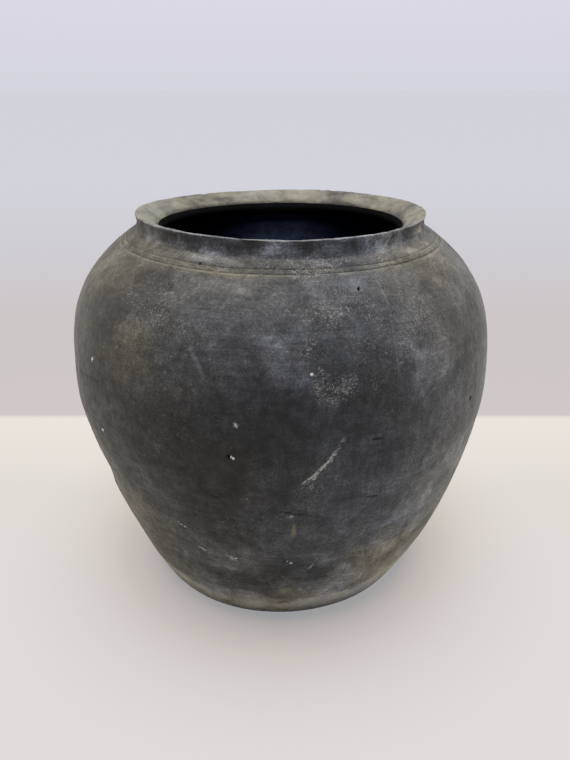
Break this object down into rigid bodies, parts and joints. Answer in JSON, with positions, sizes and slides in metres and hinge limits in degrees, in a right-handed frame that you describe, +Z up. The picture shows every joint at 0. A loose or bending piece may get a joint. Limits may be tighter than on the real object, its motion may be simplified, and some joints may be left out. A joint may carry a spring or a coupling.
{
  "type": "black clay pot",
  "caption": "Round-bodied matte black clay pot with a flat foot, wide shoulder, incised double line at the neck and a funnel-shaped rim, coated black inside.",
  "frame": {"origin": "centre of the foot's flat underside, on the table", "axes": "+Z up along the pot's axis, -Y towards the side with the scratched front face, +X to the right of that side"},
  "size_m": [0.24, 0.24, 0.2175],
  "materials": {
    "black_clay": "matte, reduction-fired charcoal clay with fine turning lines, dust and scratches",
    "dusty_clay": "matte, the same clay with a beige-grey bloom of dust and worn edges",
    "raw_clay": "matte, unfinished inside clay",
    "slip": "matte, fine liquid clay that has set in the joints",
    "gloss_coat": "glossy, thin black sealing coat",
    "white_grit": "matte, chalky mineral grains"
  },
  "bodies": {
    "root": {"base_slab": "black_clay", "base_coil": "raw_clay", "lower_wall": "black_clay", "wall_joint_coil": "raw_clay", "shoulder_wall": "black_clay", "neck_ring": "dusty_clay", "rim_ring": "dusty_clay", "joint_slip": "slip", "inner_coat": "gloss_coat", "grit_grains": "white_grit"}
  },
  "joints": []
}
